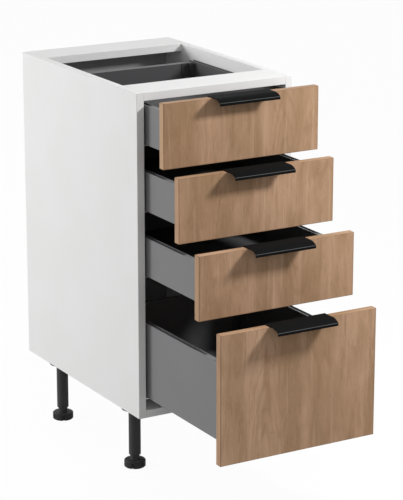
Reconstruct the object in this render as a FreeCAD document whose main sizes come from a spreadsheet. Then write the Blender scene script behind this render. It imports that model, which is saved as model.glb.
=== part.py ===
import FreeCAD, Part
import Sketcher
import math
import os

# Kitchen base cabinet with four drawers on levelling legs.
# Frame: X across the front, Y from the front to the back, Z up, in millimetres.
# Origin: on the floor, in the middle of the width, under the front edges of the side panels.
# The drawers stand open as far as opening_1 to opening_4 say.

doc = FreeCAD.newDocument("base_cabinet")
sheet = doc.addObject("Spreadsheet::Sheet", "Sizes")
AXES = {"x": FreeCAD.Vector(1, 0, 0), "y": FreeCAD.Vector(0, 1, 0), "z": FreeCAD.Vector(0, 0, 1)}
UP = AXES["z"]


class Size:
    """A length written as a formula over the cells of the sheet."""

    def __init__(self, formula):
        self.formula = str(formula)

    def join(self, sign, other):
        return Size("(%s %s %s)" % (self.formula, sign, size(other).formula))

    def __add__(self, other):
        return self.join("+", other)

    def __sub__(self, other):
        return self.join("-", other)

    def __rsub__(self, other):
        return size(other).join("-", self)

    def __mul__(self, other):
        return self.join("*", other)

    def __truediv__(self, other):
        return self.join("/", other)

    def __neg__(self):
        return Size("(0 - %s)" % self.formula)

    def value(self):
        return float(sheet.evalExpression(self.formula))


def size(number):
    return number if isinstance(number, Size) else Size(number)


def root(square):
    return Size("sqrt(%s)" % square.formula)


def cell(alias, number):
    """Writes one driving dimension into the sheet and returns it as a Size."""
    row = len(cells) + 1
    sheet.set("A%d" % row, alias)
    sheet.set("B%d" % row, str(number))
    sheet.setAlias("B%d" % row, alias)
    cells.append(alias)
    return Size("Sizes." + alias)


cells = []
parts = []

# --- carcass
carcass_width = cell("carcass_width", 400)
carcass_height = cell("carcass_height", 750)
carcass_depth = cell("carcass_depth", 570)
leg_height = cell("leg_height", 150)
panel_thickness = cell("panel_thickness", 18)
panel_edge_radius = cell("panel_edge_radius", 1)
rail_width = cell("rail_width", 96)
back_thickness = cell("back_thickness", 3)
back_inset = cell("back_inset", 15)
groove_depth = cell("groove_depth", 7)
groove_clearance = cell("groove_clearance", 0.2)

# --- dowels that join the carcass boards
dowel_diameter = cell("dowel_diameter", 8)
dowel_depth_in_face = cell("dowel_depth_in_face", 12)
dowel_depth_in_end = cell("dowel_depth_in_end", 22)
dowel_end_clearance = cell("dowel_end_clearance", 1)
dowel_clearance = cell("dowel_clearance", 0.05)
dowel_edge_distance = cell("dowel_edge_distance", 28)

# --- countersunk screws
screw_shank_diameter = cell("screw_shank_diameter", 3.5)
screw_head_diameter = cell("screw_head_diameter", 6.4)
screw_head_height = cell("screw_head_height", 1.4)
screw_clearance = cell("screw_clearance", 0.05)
screw_tip_clearance = cell("screw_tip_clearance", 0.5)

# --- legs
leg_from_side = cell("leg_from_side", 37)
leg_from_front = cell("leg_from_front", 91)
leg_from_back = cell("leg_from_back", 108)
leg_tube_diameter = cell("leg_tube_diameter", 28)
leg_tube_chamfer = cell("leg_tube_chamfer", 1.5)
leg_flange_diameter = cell("leg_flange_diameter", 60)
leg_flange_thickness = cell("leg_flange_thickness", 8)
leg_spigot_diameter = cell("leg_spigot_diameter", 20)
leg_spigot_length = cell("leg_spigot_length", 22)
leg_spigot_clearance = cell("leg_spigot_clearance", 0.1)
leg_screw_circle = cell("leg_screw_circle", 44)
leg_screw_length = cell("leg_screw_length", 20)
foot_diameter = cell("foot_diameter", 50)
foot_height = cell("foot_height", 17)
foot_edge_chamfer = cell("foot_edge_chamfer", 1.8)
foot_neck_diameter = cell("foot_neck_diameter", 22)
foot_neck_showing = cell("foot_neck_showing", 12)
foot_neck_inside = cell("foot_neck_inside", 55)
foot_neck_clearance = cell("foot_neck_clearance", 0.15)
foot_stop_clearance = cell("foot_stop_clearance", 0.3)
foot_notch_width = cell("foot_notch_width", 3.6)
foot_notch_depth = cell("foot_notch_depth", 5)
foot_notch_height = cell("foot_notch_height", 14)
FOOT_NOTCHES = 6

# --- the angle at which each foot stands in its thread, in degrees
foot_turn_front_left = cell("foot_turn_front_left", 49)
foot_turn_front_right = cell("foot_turn_front_right", 22)
foot_turn_back_left = cell("foot_turn_back_left", 8)
foot_turn_back_right = cell("foot_turn_back_right", 35)

# --- how far a cutting shape runs past the face that it opens
CUT_MARGIN = 1

# --- drawer fronts and their handles
front_thickness = cell("front_thickness", 18)
front_edge_radius = cell("front_edge_radius", 1)
front_side_reveal = cell("front_side_reveal", 3)
front_top_reveal = cell("front_top_reveal", 2.5)
front_bottom_reveal = cell("front_bottom_reveal", 4.5)
front_gap = cell("front_gap", 5.5)
front_standoff = cell("front_standoff", 3)
small_front_height = cell("small_front_height", 144.5)
handle_length = cell("handle_length", 152)
handle_thickness = cell("handle_thickness", 2)
handle_edge_radius = cell("handle_edge_radius", 0.3)
handle_overhang = cell("handle_overhang", 34)
handle_lip_drop = cell("handle_lip_drop", 12)
handle_curve_radius = cell("handle_curve_radius", 38)
handle_curve_drop = cell("handle_curve_drop", 7.7)
handle_tab_height = cell("handle_tab_height", 26)
handle_screw_spacing = cell("handle_screw_spacing", 128)
handle_screw_height = cell("handle_screw_height", 12)
handle_screw_length = cell("handle_screw_length", 14)

# --- runners, one pair under each drawer
runner_length = cell("runner_length", 500)
runner_setback = cell("runner_setback", 3)
runner_sheet = cell("runner_sheet", 1.5)
runner_channel_width = cell("runner_channel_width", 22)
runner_channel_from_wall = cell("runner_channel_from_wall", 7.5)
runner_lip = cell("runner_lip", 6)
runner_clearance = cell("runner_clearance", 0.6)
runner_lip_gap = cell("runner_lip_gap", 1)
runner_wall_flange = cell("runner_wall_flange", 28)
runner_screw_length = cell("runner_screw_length", 13)
runner_screw_from_end = cell("runner_screw_from_end", 34)
middle_rail_length = cell("middle_rail_length", 470)
middle_rail_setback = cell("middle_rail_setback", 10)
middle_rail_flange = cell("middle_rail_flange", 4)
middle_rail_web = cell("middle_rail_web", 8)
drawer_rail_length = cell("drawer_rail_length", 480)
drawer_rail_setback = cell("drawer_rail_setback", 9)
RUNNER_SCREWS = 3
MIDDLE_RAIL_RATIO = 0.5

# --- drawer boxes
drawer_length = cell("drawer_length", 500)
side_wall_gap = cell("side_wall_gap", 4.5)
side_thickness = cell("side_thickness", 13)
side_sheet = cell("side_sheet", 1)
side_cap_height = cell("side_cap_height", 6)
side_channel_depth = cell("side_channel_depth", 2.5)
side_channel_rim = cell("side_channel_rim", 2)
side_channel_ramp = cell("side_channel_ramp", 26)
side_channel_from_front = cell("side_channel_from_front", 82)
side_ledge = cell("side_ledge", 20.5)
side_over_runner = cell("side_over_runner", 2)
small_side_height = cell("small_side_height", 88.5)
small_side_drop = cell("small_side_drop", 25)
deep_side_height = cell("deep_side_height", 175.5)
deep_side_drop = cell("deep_side_drop", 74.5)
box_board_thickness = cell("box_board_thickness", 16)
box_board_clearance = cell("box_board_clearance", 0.5)
back_board_drop = cell("back_board_drop", 3)
bracket_thickness = cell("bracket_thickness", 2)
bracket_clearance = cell("bracket_clearance", 0.3)
bracket_tongue_length = cell("bracket_tongue_length", 40)
bracket_end_margin = cell("bracket_end_margin", 4)
bracket_flange_reach = cell("bracket_flange_reach", 19)
bracket_screw_length = cell("bracket_screw_length", 14)
bracket_screw_margin = cell("bracket_screw_margin", 10)
holder_width = cell("holder_width", 12)
holder_depth = cell("holder_depth", 14)
bottom_screw_length = cell("bottom_screw_length", 14)
bottom_screw_margin = cell("bottom_screw_margin", 60)

# --- how far each drawer stands open
opening_1 = cell("opening_1", 92)
opening_2 = cell("opening_2", 157)
opening_3 = cell("opening_3", 242)
opening_4 = cell("opening_4", 333)

doc.recompute()

# --- planes and lengths that several pieces share
half_width = carcass_width / 2
inner_half_width = half_width - panel_thickness
inner_width = inner_half_width * 2
carcass_top = leg_height + carcass_height
bottom_panel_top = leg_height + panel_thickness
rail_underside = carcass_top - panel_thickness
back_panel_front = carcass_depth - back_inset - back_thickness
dowel_length = dowel_depth_in_face + dowel_depth_in_end - dowel_end_clearance * 2
front_width = carcass_width - front_side_reveal * 2
channel_left = runner_channel_from_wall
channel_right = runner_channel_from_wall + runner_channel_width
lower_flange_bottom = runner_sheet + runner_clearance
lower_flange_top = lower_flange_bottom + middle_rail_flange
lower_lip_bottom = lower_flange_top + runner_clearance
lower_lip_top = lower_lip_bottom + runner_sheet
upper_lip_bottom = lower_lip_top + runner_lip_gap
upper_lip_top = upper_lip_bottom + runner_sheet
upper_flange_bottom = upper_lip_top + runner_clearance
upper_flange_top = upper_flange_bottom + middle_rail_flange
runner_top = upper_flange_top + runner_clearance + runner_sheet
side_foot = runner_sheet + side_over_runner
ledge_underside = runner_top - side_foot
ledge_top = ledge_underside + side_sheet


def bind(piece, values):
    """Ties properties of a piece to formulas over the sheet."""
    for name, value in values.items():
        piece.setExpression(name, size(value).formula)
    return piece


def place(piece, x, y, z):
    return bind(piece, {"Placement.Base.x": x, "Placement.Base.y": y, "Placement.Base.z": z})


def turn(piece, axis):
    """Turns a piece's own Z axis to the row axis that is named, such as x or -y."""
    target = AXES[axis[-1]] * (-1 if axis.startswith("-") else 1)
    piece.Placement.Rotation = FreeCAD.Rotation(UP, target)
    return piece


def block(label, corner, extent):
    piece = doc.addObject("Part::Box", label)
    bind(piece, dict(zip(("Length", "Width", "Height"), extent)))
    return place(piece, *corner)


def rod(label, start, axis, radius, length):
    piece = turn(doc.addObject("Part::Cylinder", label), axis)
    bind(piece, {"Radius": radius, "Height": length})
    return place(piece, *start)


def united(label, pieces):
    piece = doc.addObject("Part::MultiFuse", label)
    piece.Shapes = pieces
    return piece


def group(label, pieces):
    """Keeps separate solids together under one name."""
    piece = doc.addObject("Part::Compound", label)
    piece.Links = pieces
    return piece


def without(label, base, tools):
    piece = doc.addObject("Part::Cut", label)
    piece.Base = base
    piece.Tool = tools[0] if len(tools) == 1 else group(label + "_tools", tools)
    return piece


def outline_sketch(body, role, outline):
    """Draws a closed outline on one of the body's own planes.

    The outline runs anticlockwise. Each entry is the end of a segment: (across, up) after
    a straight one, or (across, up, radius, way) after an arc, whose way is "round" where it
    bulges outwards and "hollow" where it bends in.
    """
    plane = [item for item in body.Origin.OriginFeatures if item.Role == role][0]
    sketch = body.newObject("Sketcher::SketchObject", body.Label + "_outline")
    sketch.AttachmentSupport = [(plane, "")]
    sketch.MapMode = "FlatFace"
    corners = [FreeCAD.Vector(size(entry[0]).value(), size(entry[1]).value(), 0) for entry in outline]
    # a hollow arc is stored from its end to its start, because arcs run anticlockwise
    starts = [2 if "hollow" in entry else 1 for entry in outline]
    ends = [1 if "hollow" in entry else 2 for entry in outline]
    for i, entry in enumerate(outline):
        if len(entry) == 2:
            sketch.addGeometry(Part.LineSegment(corners[i - 1], corners[i]), False)
        elif "round" in entry:
            sketch.addGeometry(arc_between(corners[i - 1], corners[i], size(entry[2]).value()), False)
        else:
            sketch.addGeometry(arc_between(corners[i], corners[i - 1], size(entry[2]).value()), False)
    for i in range(len(outline)):
        before = (i - 1) % len(outline)
        sketch.addConstraint(Sketcher.Constraint("Coincident", before, ends[before], i, starts[i]))
    for i, entry in enumerate(outline):
        across = ("DistanceX", entry[0], corners[i].x)
        up = ("DistanceY", entry[1], corners[i].y)
        for kind, value, now in (across, up):
            index = sketch.addConstraint(Sketcher.Constraint(kind, -1, 1, i, ends[i], now))
            sketch.setExpression("Constraints[%d]" % index, size(value).formula)
        if len(entry) > 2:
            index = sketch.addConstraint(Sketcher.Constraint("Radius", i, size(entry[2]).value()))
            sketch.setExpression("Constraints[%d]" % index, size(entry[2]).formula)
    return sketch


def arc_between(start, end, radius):
    """The short arc of this radius that runs anticlockwise from start to end."""
    half_chord = (end - start).Length / 2
    leftwards = FreeCAD.Vector(start.y - end.y, end.x - start.x, 0).normalize()
    centre = (start + end) * 0.5 + leftwards * math.sqrt(radius ** 2 - half_chord ** 2)
    first = math.atan2(start.y - centre.y, start.x - centre.x)
    last = math.atan2(end.y - centre.y, end.x - centre.x)
    return Part.ArcOfCircle(Part.Circle(centre, UP, radius), first, last)


def keep(piece):
    """Marks a finished sub-part, whose label names its file."""
    parts.append(piece)
    return piece


def new_body(label):
    return doc.addObject("PartDesign::Body", label)


def pad(body, sketch, length, reverse=False):
    feature = body.newObject("PartDesign::Pad", body.Label + "_pad")
    feature.Profile = sketch
    feature.Reversed = reverse
    bind(feature, {"Length": length})
    body.Tip = feature
    return feature


def round_edges(body, radius):
    base = body.Tip
    feature = body.newObject("PartDesign::Fillet", body.Label + "_round")
    feature.Base = (base, [""])
    feature.UseAllEdges = True
    bind(feature, {"Radius": radius})
    body.Tip = feature


def board(label, corner, extent, radius):
    """A board with all its edges eased by the radius of its edge band."""
    body = new_body(label)
    width, depth, height = extent
    sketch = outline_sketch(body, "XY_Plane", [(width, 0), (width, depth), (0, depth), (0, 0)])
    pad(body, sketch, height)
    round_edges(body, radius)
    return place(body, *corner)


def along_y(label, outline, corner, length):
    """A section in X and Z that runs back along Y."""
    body = new_body(label)
    pad(body, outline_sketch(body, "XZ_Plane", outline), length, reverse=True)
    return place(body, *corner)


def along_x(label, outline, corner, length):
    """A section in Y and Z that runs along X."""
    body = new_body(label)
    pad(body, outline_sketch(body, "YZ_Plane", outline), length)
    return place(body, *corner)


def turned(label, outline, corner):
    """A section of radius and height that is turned round the Z axis."""
    body = new_body(label)
    sketch = outline_sketch(body, "XZ_Plane", outline)
    feature = body.newObject("PartDesign::Revolution", label + "_turning")
    feature.Profile = sketch
    feature.ReferenceAxis = (sketch, ["V_Axis"])
    feature.Angle = 360
    body.Tip = feature
    return place(body, *corner)


def screw(label, start, axis, length, grow=0):
    """A countersunk screw whose head is flush at start and whose shank runs along axis."""
    head = turn(doc.addObject("Part::Cone", label + "_head"), axis)
    bind(head, {"Radius1": screw_head_diameter / 2 + grow, "Radius2": screw_shank_diameter / 2 + grow,
                "Height": screw_head_height})
    place(head, *start)
    shank = rod(label + "_shank", start, axis, screw_shank_diameter / 2 + grow, length)
    return united(label, [head, shank])


def screws_and_holes(label, starts, axis, length):
    """Screws at the starts, with the holes that take them."""
    screws = []
    holes = []
    for number, start in enumerate(starts, 1):
        name = "%s_%d" % (label, number)
        screws.append(screw(name, start, axis, length))
        holes.append(screw(name + "_hole", start, axis, length + screw_tip_clearance, screw_clearance))
    return screws, holes


def dowels_and_holes():
    """Dowels for both ends of the boards, and their holes by board."""
    back_rail_front = carcass_depth - rail_width
    low = leg_height + panel_thickness / 2
    high = carcass_top - panel_thickness / 2
    places = [
        ("bottom_panel", low, dowel_edge_distance),
        ("bottom_panel", low, carcass_depth / 2),
        ("bottom_panel", low, carcass_depth - dowel_edge_distance),
        ("top_rail_front", high, dowel_edge_distance),
        ("top_rail_front", high, rail_width - dowel_edge_distance),
        ("top_rail_back", high, back_rail_front + dowel_edge_distance),
        ("top_rail_back", high, carcass_depth - dowel_edge_distance),
    ]
    dowels = []
    holes = {"left": [], "right": [], "bottom_panel": [], "top_rail_front": [], "top_rail_back": []}
    for side, axis, way in (("left", "x", -1), ("right", "-x", 1)):
        face = inner_half_width * way
        hole_start = face + dowel_depth_in_face * way
        dowel_start = hole_start - dowel_end_clearance * way
        for number, (board_name, z, y) in enumerate(places, 1):
            name = "dowel_%s_%d" % (side, number)
            dowels.append(rod(name, (dowel_start, y, z), axis, dowel_diameter / 2, dowel_length))
            hole = rod(name + "_hole", (hole_start, y, z), axis, dowel_diameter / 2 + dowel_clearance,
                       dowel_depth_in_face + dowel_depth_in_end)
            holes[side].append(hole)
            holes[board_name].append(hole)
    keep(group("carcass_dowels", dowels))
    return holes


def carcass(runner_holes, leg_holes):
    """Two side panels, a bottom panel, two top rails and a back panel in grooves."""
    holes = dowels_and_holes()
    groove_width = back_thickness + groove_clearance * 2
    groove_y = back_panel_front - groove_clearance
    groove_reach = groove_depth + groove_clearance
    groove_bottom = bottom_panel_top - groove_reach
    groove_height = rail_underside - bottom_panel_top + groove_reach * 2

    for side, panel_x, groove_x in (("left", -half_width, -inner_half_width - groove_reach),
                                    ("right", inner_half_width, inner_half_width)):
        name = "side_panel_" + side
        blank = board(name + "_blank", (panel_x, 0, leg_height),
                      (panel_thickness, carcass_depth, carcass_height), panel_edge_radius)
        groove = block(name + "_groove", (groove_x, groove_y, groove_bottom),
                       (groove_reach, groove_width, groove_height))
        keep(without(name, blank, [groove] + holes[side] + runner_holes[side]))

    blank = board("bottom_panel_blank", (-inner_half_width, 0, leg_height),
                  (inner_width, carcass_depth, panel_thickness), panel_edge_radius)
    groove = block("bottom_panel_groove", (-inner_half_width, groove_y, groove_bottom),
                   (inner_width, groove_width, groove_reach))
    keep(without("bottom_panel", blank, [groove] + holes["bottom_panel"] + leg_holes))

    rail_size = (inner_width, rail_width, panel_thickness)
    blank = board("top_rail_front_blank", (-inner_half_width, 0, rail_underside), rail_size,
                  panel_edge_radius)
    keep(without("top_rail_front", blank, holes["top_rail_front"]))

    blank = board("top_rail_back_blank", (-inner_half_width, carcass_depth - rail_width, rail_underside),
                  rail_size, panel_edge_radius)
    groove = block("top_rail_back_groove", (-inner_half_width, groove_y, rail_underside),
                   (inner_width, groove_width, groove_reach))
    keep(without("top_rail_back", blank, [groove] + holes["top_rail_back"]))

    keep(block("back_panel",
               (-inner_half_width - groove_depth, back_panel_front, bottom_panel_top - groove_depth),
               (inner_width + groove_depth * 2, back_thickness,
                rail_underside - bottom_panel_top + groove_depth * 2)))


def leg_sockets(corners):
    """Flanged sockets screwed under the bottom panel; returns the screw holes."""
    sockets = []
    screws = []
    holes = []
    flange_bottom = leg_height - leg_flange_thickness
    # the screws stand on the diagonals, at the corners of a square inscribed in their circle
    offset = root(leg_screw_circle * leg_screw_circle / 8)
    for corner, (x, y) in corners.items():
        starts = [(x + offset * i, y + offset * j, flange_bottom) for i in (-1, 1) for j in (-1, 1)]
        own_screws, own_holes = screws_and_holes("leg_screw_" + corner, starts, "z", leg_screw_length)
        flange = rod("leg_flange_" + corner, (x, y, flange_bottom), "z", leg_flange_diameter / 2,
                     leg_flange_thickness)
        spigot = rod("leg_spigot_" + corner, (x, y, flange_bottom - leg_spigot_length), "z",
                     leg_spigot_diameter / 2, leg_spigot_length + leg_flange_thickness)
        blank = united("leg_socket_blank_" + corner, [flange, spigot])
        sockets.append(without("leg_socket_" + corner, blank, own_holes))
        screws += own_screws
        holes += own_holes
    keep(group("leg_sockets", sockets))
    keep(group("leg_screws", screws))
    return holes


def leg_tube(corner, x, y):
    """A moulded tube: open to the spigot above and to the foot's neck below."""
    bottom = foot_height + foot_neck_showing
    height = leg_height - leg_flange_thickness - bottom
    radius = leg_tube_diameter / 2
    upper_bore = leg_spigot_diameter / 2 + leg_spigot_clearance
    upper_stop = height - leg_spigot_length - leg_spigot_clearance
    lower_bore = foot_neck_diameter / 2 + foot_neck_clearance
    lower_stop = foot_neck_inside + foot_stop_clearance
    outline = [
        (radius - leg_tube_chamfer, 0),
        (radius, leg_tube_chamfer),
        (radius, height),
        (upper_bore, height),
        (upper_bore, upper_stop),
        (0, upper_stop),
        (0, lower_stop),
        (lower_bore, lower_stop),
        (lower_bore, 0),
    ]
    keep(turned("leg_tube_" + corner, outline, (x, y, bottom)))


def leg_foot(corner, x, y, turned_by):
    """A foot with a spanner-notched disc and a neck that screws into the tube."""
    radius = foot_diameter / 2
    neck = foot_neck_diameter / 2
    neck_top = foot_height + foot_neck_showing + foot_neck_inside
    outline = [
        (radius - foot_edge_chamfer, 0),
        (radius, foot_edge_chamfer),
        (radius, foot_height - foot_edge_chamfer),
        (radius - foot_edge_chamfer, foot_height),
        (neck, foot_height),
        (neck, neck_top),
        (0, neck_top),
        (0, 0),
    ]
    body = keep(turned("leg_foot_" + corner, outline, (x, y, 0)))
    bind(body, {"Placement.Rotation.Angle": turned_by})
    doc.recompute()
    turned_volume = body.Tip.Shape.Volume

    half_notch = foot_notch_width / 2
    inner = radius - foot_notch_depth
    outer = radius + CUT_MARGIN
    notch_outline = [(outer, -half_notch), (outer, half_notch), (inner, half_notch), (inner, -half_notch)]
    sketch = outline_sketch(body, "XY_Plane", notch_outline)
    notch = body.newObject("PartDesign::Pocket", body.Label + "_notch")
    notch.Profile = sketch
    notch.Reversed = True
    bind(notch, {"Length": foot_notch_height})
    body.Tip = notch
    doc.recompute()
    pattern = body.newObject("PartDesign::PolarPattern", body.Label + "_notches")
    pattern.Originals = [notch]
    pattern.Axis = ([item for item in body.Origin.OriginFeatures if item.Role == "Z_Axis"][0], [""])
    pattern.Angle = 360
    pattern.Occurrences = FOOT_NOTCHES
    body.Tip = pattern
    doc.recompute()
    least_cut = (foot_notch_width * foot_notch_depth * foot_notch_height / 2).value() * FOOT_NOTCHES
    if turned_volume - pattern.Shape.Volume < least_cut:
        raise SystemExit("the notches of %s cut too little" % body.Label)


def legs():
    """Four legs; returns the screw holes in the bottom panel."""
    left = -half_width + leg_from_side
    back = carcass_depth - leg_from_back
    corners = {"front_left": (left, leg_from_front), "front_right": (-left, leg_from_front),
               "back_left": (left, back), "back_right": (-left, back)}
    foot_turns = {"front_left": foot_turn_front_left, "front_right": foot_turn_front_right,
                  "back_left": foot_turn_back_left, "back_right": foot_turn_back_right}
    holes = leg_sockets(corners)
    for corner, (x, y) in corners.items():
        leg_tube(corner, x, y)
    for corner, (x, y) in corners.items():
        leg_foot(corner, x, y, foot_turns[corner])
    return holes


def mirrored(outline, width):
    """The same outline seen from the other side, still anticlockwise."""
    return [(width - across, up) for across, up in reversed(outline)]


def cabinet_rails():
    """Channels fixed to the side panels by their wall flange; returns the screw holes by side."""
    outline = [
        (channel_right, 0),
        (channel_right, lower_lip_top),
        (channel_right - runner_lip, lower_lip_top),
        (channel_right - runner_lip, lower_lip_bottom),
        (channel_right - runner_sheet, lower_lip_bottom),
        (channel_right - runner_sheet, runner_sheet),
        (channel_left + runner_sheet, runner_sheet),
        (channel_left + runner_sheet, lower_lip_bottom),
        (channel_left + runner_lip, lower_lip_bottom),
        (channel_left + runner_lip, lower_lip_top),
        (channel_left, lower_lip_top),
        (channel_left, runner_sheet),
        (runner_sheet, runner_sheet),
        (runner_sheet, runner_wall_flange),
        (0, runner_wall_flange),
        (0, 0),
    ]
    rails = []
    screws = []
    holes = {"left": [], "right": []}
    screw_face = inner_half_width - runner_sheet
    first_screw = runner_setback + runner_screw_from_end
    screw_pitch = (runner_length - runner_screw_from_end * 2) / (RUNNER_SCREWS - 1)
    for drawer in drawers:
        z = drawer["side_bottom"] - side_foot
        for side, section, x, head_x, axis in (
                ("left", outline, -inner_half_width, -screw_face, "-x"),
                ("right", mirrored(outline, channel_right), inner_half_width - channel_right,
                 screw_face, "x")):
            name = "cabinet_rail_%s_%d" % (side, drawer["number"])
            blank = along_y(name + "_blank", section, (x, runner_setback, z), runner_length)
            starts = [(head_x, first_screw + screw_pitch * step, z + runner_wall_flange / 2)
                      for step in range(RUNNER_SCREWS)]
            own_screws, own_holes = screws_and_holes(name + "_screw", starts, axis, runner_screw_length)
            rails.append(without(name, blank, own_holes))
            screws += own_screws
            holes[side] += own_holes
    keep(group("cabinet_rails", rails))
    keep(group("runner_screws", screws))
    return holes


def middle_rails(drawer):
    """The pair of I-section rails that travel half as far as the drawer."""
    width = runner_channel_width - (runner_sheet + runner_clearance) * 2
    web_left = (width - middle_rail_web) / 2
    web_right = web_left + middle_rail_web
    height = upper_flange_top - lower_flange_bottom
    upper = upper_flange_bottom - lower_flange_bottom
    outline = [
        (width, 0),
        (width, middle_rail_flange),
        (web_right, middle_rail_flange),
        (web_right, upper),
        (width, upper),
        (width, height),
        (0, height),
        (0, upper),
        (web_left, upper),
        (web_left, middle_rail_flange),
        (0, middle_rail_flange),
        (0, 0),
    ]
    wall_to_rail = channel_left + runner_sheet + runner_clearance
    y = middle_rail_setback - drawer["opening"] * MIDDLE_RAIL_RATIO
    z = drawer["side_bottom"] - side_foot + lower_flange_bottom
    rails = []
    for side, x in (("left", wall_to_rail - inner_half_width),
                    ("right", inner_half_width - wall_to_rail - width)):
        name = "middle_rail_%s_%d" % (side, drawer["number"])
        rails.append(along_y(name, outline, (x, y, z), middle_rail_length))
    keep(group("middle_rails_%d" % drawer["number"], rails))


def drawer_rails(drawer):
    """The pair of channels that run on the middle rails and carry the drawer."""
    width = runner_channel_width
    height = runner_top - upper_lip_bottom
    outline = [
        (runner_lip, 0),
        (runner_lip, runner_sheet),
        (runner_sheet, runner_sheet),
        (runner_sheet, height - runner_sheet),
        (width - runner_sheet, height - runner_sheet),
        (width - runner_sheet, runner_sheet),
        (width - runner_lip, runner_sheet),
        (width - runner_lip, 0),
        (width, 0),
        (width, height),
        (0, height),
        (0, 0),
    ]
    y = drawer["front_rear"] + drawer_rail_setback
    z = drawer["side_bottom"] - side_foot + upper_lip_bottom
    rails = []
    for side, x in (("left", channel_left - inner_half_width), ("right", inner_half_width - channel_right)):
        name = "drawer_rail_%s_%d" % (side, drawer["number"])
        rails.append(along_y(name, outline, (x, y, z), drawer_rail_length))
    keep(group("drawer_rails_%d" % drawer["number"], rails))


def handle(drawer):
    """A pull of bent sheet: a tab behind the front, a plate over it and a curved lip before it."""
    name = "handle_%d" % drawer["number"]
    reach = front_thickness + handle_overhang
    top = handle_tab_height + handle_thickness
    inner_radius = handle_curve_radius - handle_thickness
    curve_rise = handle_curve_radius - handle_curve_drop
    curve_start = root(handle_curve_radius * handle_curve_radius - curve_rise * curve_rise)
    inner_run = curve_start - handle_thickness
    crease_inside = top - handle_curve_radius + root(inner_radius * inner_radius - inner_run * inner_run)
    lip_bottom = handle_tab_height - handle_lip_drop
    outline = [
        (reach + handle_thickness, 0),
        (reach + handle_thickness, top),
        (curve_start, top),
        (0, top - handle_curve_drop, handle_curve_radius, "round"),
        (0, lip_bottom),
        (handle_thickness, lip_bottom),
        (handle_thickness, crease_inside),
        (curve_start, handle_tab_height, inner_radius, "hollow"),
        (reach, handle_tab_height),
        (reach, 0),
    ]
    bottom = drawer["front_top"] - handle_tab_height
    blank = along_x(name + "_blank", outline, (-handle_length / 2, drawer["front_rear"] - reach, bottom),
                    handle_length)
    round_edges(blank, handle_edge_radius)
    screw_y = drawer["front_rear"] + handle_thickness
    starts = [(handle_screw_spacing / 2 * way, screw_y, bottom + handle_screw_height) for way in (-1, 1)]
    screws, holes = screws_and_holes(name + "_screw", starts, "-y", handle_screw_length)
    keep(without(name, blank, holes))
    return screws, holes


def drawer_sides(drawer):
    """Double walls of folded sheet with a ledge for the bottom; returns the bottom's screws and holes."""
    height = drawer["side_height"]
    width = side_thickness + side_ledge
    cap_underside = height - side_cap_height
    inner_skin = side_thickness - side_sheet
    outline = [
        (side_sheet, 0),
        (side_sheet, cap_underside),
        (inner_skin, cap_underside),
        (inner_skin, ledge_underside),
        (width, ledge_underside),
        (width, ledge_top),
        (side_thickness, ledge_top),
        (side_thickness, height),
        (0, height),
        (0, 0),
    ]
    start_y = drawer["front_rear"] + bracket_thickness + bracket_clearance
    end_y = drawer["front_rear"] + drawer_length
    length = end_y - start_y
    channel_y = drawer["front_rear"] + side_channel_from_front
    channel_length = end_y - channel_y + CUT_MARGIN
    # the floor of the channel in the top edge rises on a ramp towards the front
    channel_outline = [
        (side_channel_ramp, 0),
        (channel_length, 0),
        (channel_length, side_channel_depth + CUT_MARGIN),
        (0, side_channel_depth + CUT_MARGIN),
        (0, side_channel_depth),
    ]
    screws = []
    holes = []
    screw_wall_distance = (channel_right + side_wall_gap + width) / 2
    for side, section, x, channel_x, way in (
            ("left", outline, side_wall_gap - inner_half_width,
             side_wall_gap + side_channel_rim - inner_half_width, -1),
            ("right", mirrored(outline, width), inner_half_width - side_wall_gap - width,
             inner_half_width - side_wall_gap - side_thickness + side_channel_rim, 1)):
        name = "side_%s_%d" % (side, drawer["number"])
        blank = along_y(name + "_blank", section, (x, start_y, drawer["side_bottom"]), length)
        channel = along_x(name + "_channel", channel_outline,
                          (channel_x, channel_y, drawer["side_bottom"] + height - side_channel_depth),
                          side_thickness - side_channel_rim * 2)
        screw_x = (inner_half_width - screw_wall_distance) * way
        starts = [(screw_x, y, drawer["side_bottom"] + ledge_underside)
                  for y in (start_y + bottom_screw_margin, end_y - bottom_screw_margin)]
        own_screws, own_holes = screws_and_holes(name + "_screw", starts, "z", bottom_screw_length)
        keep(without(name, blank, [channel] + own_holes))
        screws += own_screws
        holes += own_holes
    return screws, holes


def front_brackets(drawer):
    """Plates behind the front, each with a tongue in the hollow of a side."""
    bottom = drawer["side_bottom"] + bracket_end_margin
    height = drawer["side_height"] - bracket_end_margin * 2
    flange_width = side_thickness + bracket_flange_reach
    tongue_gap = side_wall_gap + side_sheet + bracket_clearance
    tongue_width = side_thickness - (side_sheet + bracket_clearance) * 2
    tongue_bottom = drawer["side_bottom"] + ledge_top + bracket_end_margin
    tongue_height = drawer["side_height"] - side_cap_height - ledge_top - bracket_end_margin * 2
    screw_wall_distance = side_wall_gap + side_thickness + bracket_flange_reach / 2
    brackets = []
    screws = []
    holes = []
    for side, flange_x, tongue_x, way in (
            ("left", side_wall_gap - inner_half_width, tongue_gap - inner_half_width, -1),
            ("right", inner_half_width - side_wall_gap - flange_width,
             inner_half_width - tongue_gap - tongue_width, 1)):
        name = "front_bracket_%s_%d" % (side, drawer["number"])
        flange = block(name + "_flange", (flange_x, drawer["front_rear"], bottom),
                       (flange_width, bracket_thickness, height))
        tongue = block(name + "_tongue", (tongue_x, drawer["front_rear"], tongue_bottom),
                       (tongue_width, bracket_tongue_length, tongue_height))
        screw_x = (inner_half_width - screw_wall_distance) * way
        starts = [(screw_x, drawer["front_rear"] + bracket_thickness, z)
                  for z in (bottom + bracket_screw_margin, bottom + height - bracket_screw_margin)]
        own_screws, own_holes = screws_and_holes(name + "_screw", starts, "-y", bracket_screw_length)
        brackets.append(without(name, united(name + "_blank", [flange, tongue]), own_holes))
        screws += own_screws
        holes += own_holes
    return brackets, screws, holes


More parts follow.
